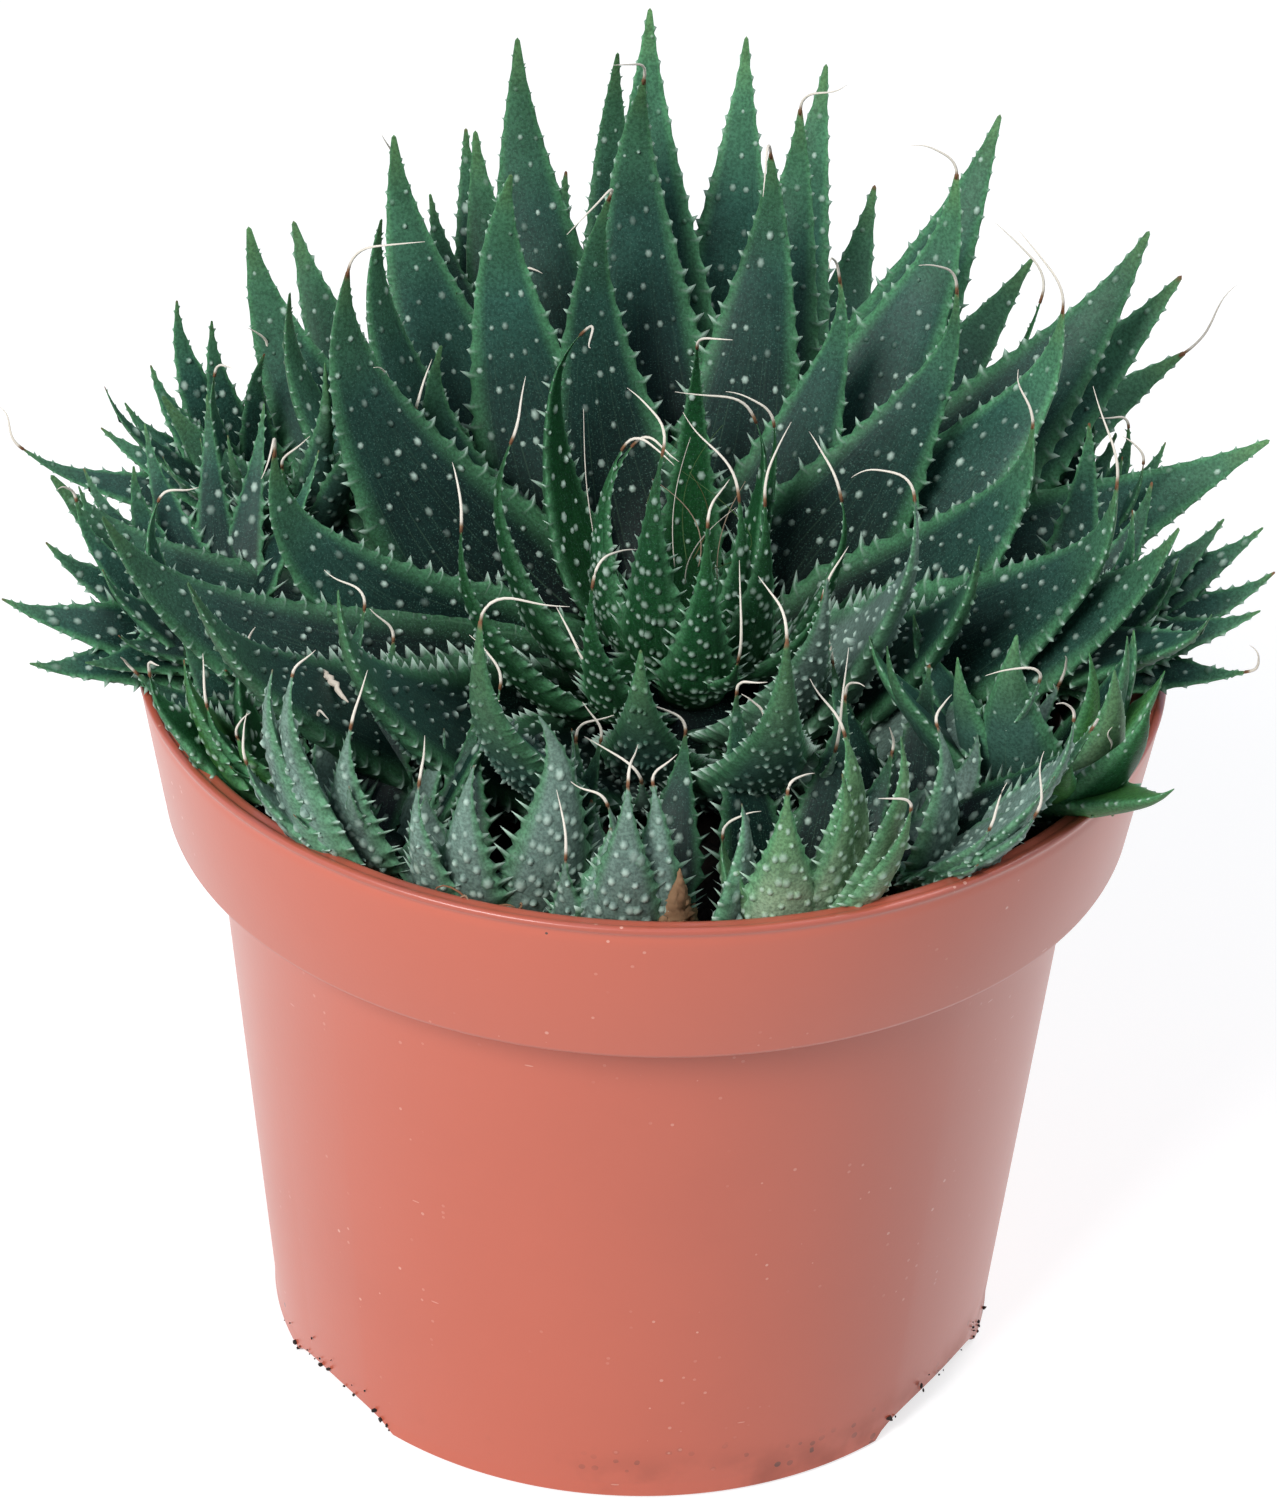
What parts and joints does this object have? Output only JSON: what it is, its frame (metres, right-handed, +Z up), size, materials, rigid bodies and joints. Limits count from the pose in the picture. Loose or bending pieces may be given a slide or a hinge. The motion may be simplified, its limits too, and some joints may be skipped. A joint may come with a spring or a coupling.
{
  "type": "potted lace aloe",
  "caption": "Rosette of narrow toothed and white-spotted aloe leaves with small offset rosettes round it, growing in a round terracotta-coloured plastic nursery pot.",
  "frame": {"origin": "centre of the pot's foot, on the surface the pot stands on", "axes": "+Z up along the pot's axis, -Y towards the front, +X to the right seen from the front"},
  "size_m": [0.183, 0.1618, 0.1873],
  "materials": {
    "pot": "satin moulded plastic",
    "soil": "rough and dark",
    "crown": "waxy",
    "leaf": "waxy with white teeth and spots",
    "offset": "waxy with white teeth and spots"
  },
  "bodies": {
    "root": {"pot": "pot", "soil": "soil", "crown": "crown", "leaf_01": "leaf", "leaf_02": "leaf", "leaf_03": "leaf", "leaf_04": "leaf", "leaf_05": "leaf", "leaf_06": "leaf", "leaf_07": "leaf", "leaf_08": "leaf", "leaf_09": "leaf", "leaf_10": "leaf", "leaf_11": "leaf", "leaf_12": "leaf", "leaf_13": "leaf", "leaf_14": "leaf", "leaf_15": "leaf", "leaf_16": "leaf", "leaf_17": "leaf", "leaf_18": "leaf", "leaf_19": "leaf", "leaf_20": "leaf", "leaf_21": "leaf", "leaf_22": "leaf", "leaf_23": "leaf", "leaf_24": "leaf", "leaf_25": "leaf", "leaf_26": "leaf", "leaf_27": "leaf", "leaf_28": "leaf", "leaf_29": "leaf", "leaf_30": "leaf", "leaf_31": "leaf", "leaf_32": "leaf", "leaf_33": "leaf", "leaf_34": "leaf", "leaf_35": "leaf", "leaf_36": "leaf", "leaf_37": "leaf", "leaf_38": "leaf", "leaf_39": "leaf", "leaf_40": "leaf", "leaf_41": "leaf", "leaf_42": "leaf", "leaf_43": "leaf", "leaf_44": "leaf", "leaf_45": "leaf", "offset_front": "offset", "offset_front_left": "offset", "offset_left_front": "offset", "offset_left_low": "offset", "offset_left": "offset", "offset_left_back": "offset", "offset_back": "offset", "offset_right_back": "offset", "offset_right": "offset", "offset_right_front": "offset", "offset_front_right": "offset", "offset_front_low": "offset"}
  },
  "joints": []
}
